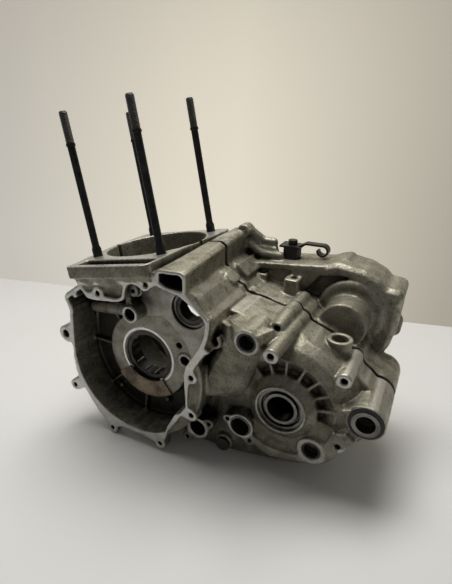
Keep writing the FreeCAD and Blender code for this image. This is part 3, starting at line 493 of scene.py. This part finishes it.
def cast_piece(name, node, material, forms, holes, voxel=0.00105, rounds=2, limit=190000):
    """A casting with added forms, cut through by the holes, joined into one skin and rounded."""
    cutter = link("holes", merge("holes", holes))
    solids = [carved(mesh, cutter) for mesh in [frame["nodes"][node].data.copy()] + forms]
    bpy.data.objects.remove(cutter)
    obj = link(name, merge(name, solids))
    obj.data.materials.clear()
    with_modifier(obj, "REMESH", mode="VOXEL", voxel_size=voxel, adaptivity=0.0)
    co, edges = arrays(obj.data)
    count = np.bincount(edges.ravel(), minlength=len(co)).astype(float)
    free = (1 - machined_weight(co)[1])[:, None]
    for _ in range(rounds):
        co = co + free * 0.6 * (neighbour_mean(co, edges, count) - co)
    obj.data.vertices.foreach_set("co", co.astype(np.float32).ravel())
    obj.data.update()
    triangles = sum(len(p.vertices) - 2 for p in obj.data.polygons)
    if triangles > limit:
        with_modifier(obj, "DECIMATE", ratio=limit / triangles)
    co, edges = arrays(obj.data)
    count = np.bincount(edges.ravel(), minlength=len(co)).astype(float)
    normals = np.empty(len(co) * 3, np.float32)
    obj.data.vertices.foreach_get("normal", normals)
    normals = normals.reshape(-1, 3)
    # Curvature as a worn-edge and dirt mask: 0.5 is flat, more is an outer edge, less a corner
    lap = neighbour_mean(co, edges, count) - co
    bend = -np.einsum("ij,ij->i", lap, normals) / 0.0009
    store(obj.data, "edge", np.clip(0.5 + smooth_values(bend, edges, count, 2), 0, 1))
    store(obj.data, "machined", machined_weight(co)[0])
    near, far = enclosure(obj.data, co, normals)
    store(obj.data, "near", smooth_values(near, edges, count, 4))
    store(obj.data, "far", smooth_values(far, edges, count, 4))
    obj.data.polygons.foreach_set("use_smooth", np.ones(len(obj.data.polygons), bool))
    obj.data.materials.append(material)
    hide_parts(node)
    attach(obj, "case")


def store(mesh, name, values):
    attribute = mesh.attributes.new(name, "FLOAT", "POINT")
    attribute.data.foreach_set("value", values.astype(np.float32))


def dress(node, material):
    """A CAD node that keeps its shape and gets its finish."""
    obj = frame["nodes"][node]
    obj.data.materials.clear()
    obj.data.materials.append(material)


# Studs: node, and the place on the deck across and along the crank axis
STUDS = [
    ("cylinder_stud_front_left", -39.0, -46.7), ("cylinder_stud_rear_left", 39.0, -46.7),
    ("cylinder_stud_front_right", -39.0, 46.7), ("cylinder_stud_rear_right", 39.0, 46.7),
]


def replacement(name, mesh, node, material):
    obj = link(name, mesh)
    mesh.materials.append(material)
    mesh.polygons.foreach_set("use_smooth", np.ones(len(mesh.polygons), bool))
    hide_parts(node)
    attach(obj, "case")
    return obj


def threaded_stud(node, u, v, material, sides=28, pitch=1.25):
    """A stud turned about its leaning axis, with a helical thread along its top."""
    # (height over the deck, radius), with no radius where the thread runs
    outline = [
        (-16.0, 3.99), (-1.5, 3.99), (-1.5, 4.59), (7.0, 4.59), (10.0, 3.55), (104.4, 3.55), (104.5, 4.29),
        (106.9, 4.29), (107.0, 3.99),
    ]
    z, thread_end = 107.2, 134.0
    while z < thread_end:
        outline.append((z, None))
        z += pitch / 6
    outline += [(134.1, 3.3), (134.95, 2.8)]
    base = DECK + ACROSS * u * MM + Vector((0, v, 0)) * MM
    verts, crest = [], []
    for height, radius in outline:
        for i in range(sides):
            angle = 2 * math.pi * i / sides
            turn = (height / pitch - i / sides) % 1.0
            r = radius or 3.98 - 0.6 * abs(2 * turn - 1)
            crest.append(0.0 if radius else (1 - abs(2 * turn - 1)) ** 2)
            verts.append(base + AXIS * height * MM + ACROSS * r * math.cos(angle) * MM
                         + Vector((0, r * math.sin(angle) * MM, 0)))
    rows = len(outline)
    faces = [tuple(range(sides)), tuple(range(rows * sides - 1, (rows - 1) * sides - 1, -1))]
    for j in range(rows - 1):
        for i in range(sides):
            k = (i + 1) % sides
            faces.append((j * sides + i, (j + 1) * sides + i, (j + 1) * sides + k, j * sides + k))
    mesh = bpy.data.meshes.new(node)
    mesh.from_pydata(verts, [], faces)
    store(mesh, "crest", np.array(crest))
    obj = replacement(node + "_thread", mesh, node, material)
    with_modifier(obj, "EDGE_SPLIT", split_angle=math.radians(50))


def oil_plate(material):
    """The thin plate below the main bearing, from near the race out to the seat's edge."""
    arc = [math.radians(-143 + 91 * i / 40) for i in range(41)]
    points = [(46 * math.cos(a), 46 * math.sin(a)) for a in arc]
    points += [(28.4 * math.cos(a), 28.4 * math.sin(a)) for a in reversed(arc)]
    mesh = prism(points, -53.8, -52.0)
    obj = replacement("oil_plate", mesh, "oil_guide_plate", material)
    with_modifier(obj, "EDGE_SPLIT", split_angle=math.radians(40))


# Studio
def stage_box(name, corners, low, high, mat):
    """A flat slab of the set, from its corners seen from above and its two heights."""
    n = len(corners)
    verts = [(x, y, low) for x, y in corners] + [(x, y, high) for x, y in corners]
    faces = [tuple(range(n - 1, -1, -1)), tuple(range(n, 2 * n))]
    faces += [(i, (i + 1) % n, n + (i + 1) % n, n + i) for i in range(n)]
    mesh = bpy.data.meshes.new(name)
    mesh.from_pydata(verts, [], faces)
    mesh.materials.append(mat)
    link(name, mesh)


def table_and_wall():
    """A pale table that ends along a slanting line, and a wall well behind it, its colour painted light that
    also glows.
    """
    left = at(-429.5, 208.7, -89.0)
    right = at(248.3, 360.2, -89.0)
    along = (right - left).normalized()
    away = Vector((-along.y, along.x, 0))
    middle = left.lerp(right, 0.5)

    def strip(width, near, back):
        points = ((-width, near), (width, near), (width, back), (-width, back))
        return [(middle + along * a + away * b)[:2] for a, b in points]

    s = Shader("table")
    tone = s.mix(s.remap(s.noise(3.0, 2.0), 0.35, 0.65), (0.80, 0.80, 0.795), (0.785, 0.785, 0.775))
    stage_box("table", strip(1.6, -2.2, 0.0), -0.03, -0.0004, s.finish(tone, 0.6, 0.0))
    s = Shader("wall")
    place = s.add("SeparateXYZ", {0: s.coords})
    # Painted light on the wall: brightest to the left of the case, darker to the far left, much darker to
    # the right, and darker upwards
    tone = s.mix(s.remap(place.outputs[0], -1.9, -0.9), (0.72, 0.69, 0.63), (0.92, 0.86, 0.72))
    tone = s.mix(s.remap(place.outputs[0], -0.65, 0.25), tone, (0.48, 0.45, 0.375))
    tone = s.mix(s.remap(place.outputs[2], -0.3, 0.75, 0.0, 0.35), tone, (0.40, 0.36, 0.31))
    # The wall glows by emission of its own painted-light colour, though it is no lamp
    painted_wall_glow = {"Emission Color": tone, "Emission Strength": 0.62}
    stage_box("wall", strip(3.0, 1.2, 1.25), -1.2, 2.4, s.finish(tone, 0.7, 0.0, **painted_wall_glow))


def area_light(name, place, aim, size, power, color):
    data = bpy.data.lights.new(name, "AREA")
    data.shape = "RECTANGLE"
    data.size, data.size_y = size
    data.energy = power
    data.color = color
    obj = bpy.data.objects.new(name, data)
    scene.collection.objects.link(obj)
    obj.location = place
    obj.rotation_mode = "QUATERNION"
    obj.rotation_quaternion = (Vector(aim) - Vector(place)).to_track_quat("-Z", "Y")


def studio():
    table_and_wall()
    area_light("key", (-0.16, 0.15, 1.22), (0, 0, 0.05), (0.9, 0.5), 12.4, (1.0, 0.985, 0.94))
    area_light("side", (-1.1, -0.2, 0.9), (0, 0, 0.08), (0.7, 0.7), 0.7, (1.0, 0.985, 0.96))
    area_light("fill", (0.3, -1.5, 0.7), (0, 0, 0.1), (1.0, 0.8), 0.5, (0.97, 0.98, 1.0))
    world = bpy.data.worlds.new("studio")
    scene.world = world
    world.use_nodes = True
    back = world.node_tree.nodes["Background"]
    back.inputs["Color"].default_value = (1.0, 0.985, 0.96, 1.0)
    back.inputs["Strength"].default_value = 0.105
    scene.view_settings.view_transform = "Standard"


add_camera()
studio()

cast = cast_aluminium()
ground_steel = steel("ground_steel", (0.21, 0.205, 0.195), (0.11, 0.105, 0.097), 0.26)
cage_steel = steel("cage_steel", (0.07, 0.068, 0.064), (0.035, 0.033, 0.03), 0.36)
spring_steel = steel("spring_steel", (0.85, 0.84, 0.81), (0.70, 0.69, 0.66), 0.30)
looks = {
    "cast_case": cast, "gasket": gasket_sheet(), "black_stud": black_oxide(), "black_rubber": rubber(),
    "black_steel": painted_black(), "tan_plate": tan_sheet(), "bearing_cage": cage_steel,
    "spring_steel": spring_steel, "bearing_steel": ground_steel,
}
for part in frame["record"]["subparts"]:
    dress(part["node"], looks[part["material_slot"]])

# Cast forms that the solids have plainer, as (x, z) outlines from the crank axis
wall_edge = [
    (-0.4, 74.5), (1.2, 83.3), (4.5, 88.1), (9.6, 90.2), (15.0, 89.4), (22.0, 85.5), (29.0, 89.7),
    (35.1, 93.1), (57.5, 88.3), (71.6, 80.8), (82.2, 71.8), (83.9, 66.6), (82.5, 54.6), (78.0, 43.8),
    (63.4, 19.7),
]
low_foot = [(61.1, 11.2), (61.5, -12.0), (46.0, -12.0), (30.0, 30.0)]
high_foot = [(51.0, 28.4), (38.8, 37.4), (30.7, 47.5), (22.0, 50.5)]
low_wall = [(1.0, 47.0), (-1.6, 71.0)] + wall_edge + low_foot
high_wall = [(0.0, 46.0), (-1.6, 71.0)] + wall_edge + high_foot
lobe_base = [
    (90.0, 64.0), (85.0, 38.0), (78.5, 17.0), (71.5, 0.0), (68.3, -12.0), (72.0, -18.2), (80.0, -18.2),
    (96.0, -14.3), (108.0, -9.0), (114.0, 0.0), (119.0, 16.0), (127.0, 40.0), (131.0, 58.0),
]
lobe_mid = [
    (90.0, 64.0), (86.0, 40.0), (76.0, 17.0), (68.3, -3.0), (67.5, -10.0), (73.0, -17.2), (82.0, -15.6),
    (93.0, -9.0), (105.0, 1.0), (111.0, 10.0), (117.0, 22.0), (125.0, 40.0), (130.0, 59.0),
]
lobe_top = [
    (98.0, 64.0), (95.0, 42.0), (83.0, 17.0), (74.0, -3.0), (74.0, -9.0), (78.0, -12.5), (85.0, -10.5),
    (91.0, -5.0), (101.0, 5.0), (107.0, 13.0), (113.0, 26.0), (121.0, 42.0), (126.0, 59.0),
]
shift_base = [
    (95.0, 66.0), (108.0, 66.5), (122.0, 64.5), (133.0, 60.0), (131.0, 50.0), (124.0, 38.0),
    (108.0, 34.0), (96.0, 48.0),
]
shift_top = []
for degrees in (155, 105, 65, 25, -20, -70, -125, -170):
    angle = math.radians(degrees)
    shift_top.append((SHIFT[0] + 12 * math.cos(angle), SHIFT[1] + 12 * math.sin(angle)))
gear_top = [(98.0, 58.0), (100.0, 67.2), (111.0, 65.2), (124.3, 62.5), (137.0, 60.2), (128.0, 54.0)]
duct_left = [(38.8, 96.2), (38.8, 104.0), (58.8, 105.4), (62.2, 103.0), (62.0, 91.2), (46.2, 91.9)]
duct_joint = [(42.5, 100.0), (45.5, 109.0), (56.5, 110.5), (58.8, 108.0), (58.5, 95.5), (46.6, 95.5)]
boss_funnel = [(34.0, -45.0), (47.0, -45.0), (47.0, -52.5)]
left_forms = [
    prism(low_wall, -52, -43),
    prism(high_wall, -55, -43),
    loft(lobe_base, -57, lobe_mid, -62),
    loft(lobe_mid, -62, lobe_top, -66),
    loft(shift_base, -58, shift_top, -75),
    prism(gear_top, -58, -40),
    drum(PILLAR, 9.0, -72, -43),
    rod((-64, -50, 44.5), (-8, -50, 49.5), 8.0),
    rod((182, -16, 31), (182, -16, 49), 7.5, 11.5),
    drum(FRONT_BARREL, 5.8, -48, -0.9, 7.8),
    drum(REAR_BARREL, 6.4, -80, -0.9, 9.0),
    turned(*OUTPUT, boss_funnel, -6, 126),
]
left_holes = [
    drum(PILLAR, 5.8, -73, -56),
    rod((182, -16, 37), (182, -16, 51), 7.0),
    drum(FRONT_BARREL, 2.9, -49, -26),
    drum(REAR_BARREL, 2.9, -81, -58),
    drum((88.0, 47.5), 3.25, -74, -57.5),
    stepped(SHIFT, [(8.4, -78), (8.4, -61), (6.75, -61), (6.75, -39)]),
    drum(BALANCER, 18.1, -56, -39),
    drum((38.5, 21.7), 3.2, -56, -40),
    drum(OIL_BORE, 4.8, -56, -40),
    loft(duct_left, -79.1, duct_joint, -0.8),
]
dome_roll = []
for i in range(20):
    angle = 2 * math.pi * i / 20
    dome_roll.append((26.5 + 6.2 * math.cos(angle), 39 + 6.2 * math.sin(angle)))
rim_left = [
    (71.0, 86.0), (115.0, 89.8), (150.0, 93.3), (150.0, 84.5), (130.0, 84.5), (110.0, 83.5), (90.0, 81.0),
    (73.0, 78.5),
]
slope_pad = []
cos, sin = math.cos(math.radians(42)), math.sin(math.radians(42))
for u, w in ((-1, -9), (-1, 5.5), (16, 5.5), (16, -9)):
    slope_pad.append((u * cos + w * sin + 67.8, w * cos - u * sin + 87.5))
lug_pad = [(76.0, 60.0), (76.0, 77.0), (93.0, 77.0), (93.0, 60.0)]
right_forms = [
    turned(179, 51.5, dome_roll),
    prism(rim_left, 37, 47),
    prism(slope_pad, 8, 46),
    prism(lug_pad, 31, 47),
    drum(REAR_BARREL, 9.0, 0.9, 30),
    drum((135.0, 61.0), 7.0, 0.9, 30),
]
right_holes = [rod((86.5, 37, 64), (86.5, 37, 79), 2.4)]
cast_piece("left_casting", "left_case_half", cast, left_forms, left_holes)
cast_piece("right_casting", "right_case_half", cast, right_forms, right_holes, rounds=9)
oil_plate(looks["tan_plate"])
for node, u, v in STUDS:
    threaded_stud(node, u, v, looks["black_stud"])
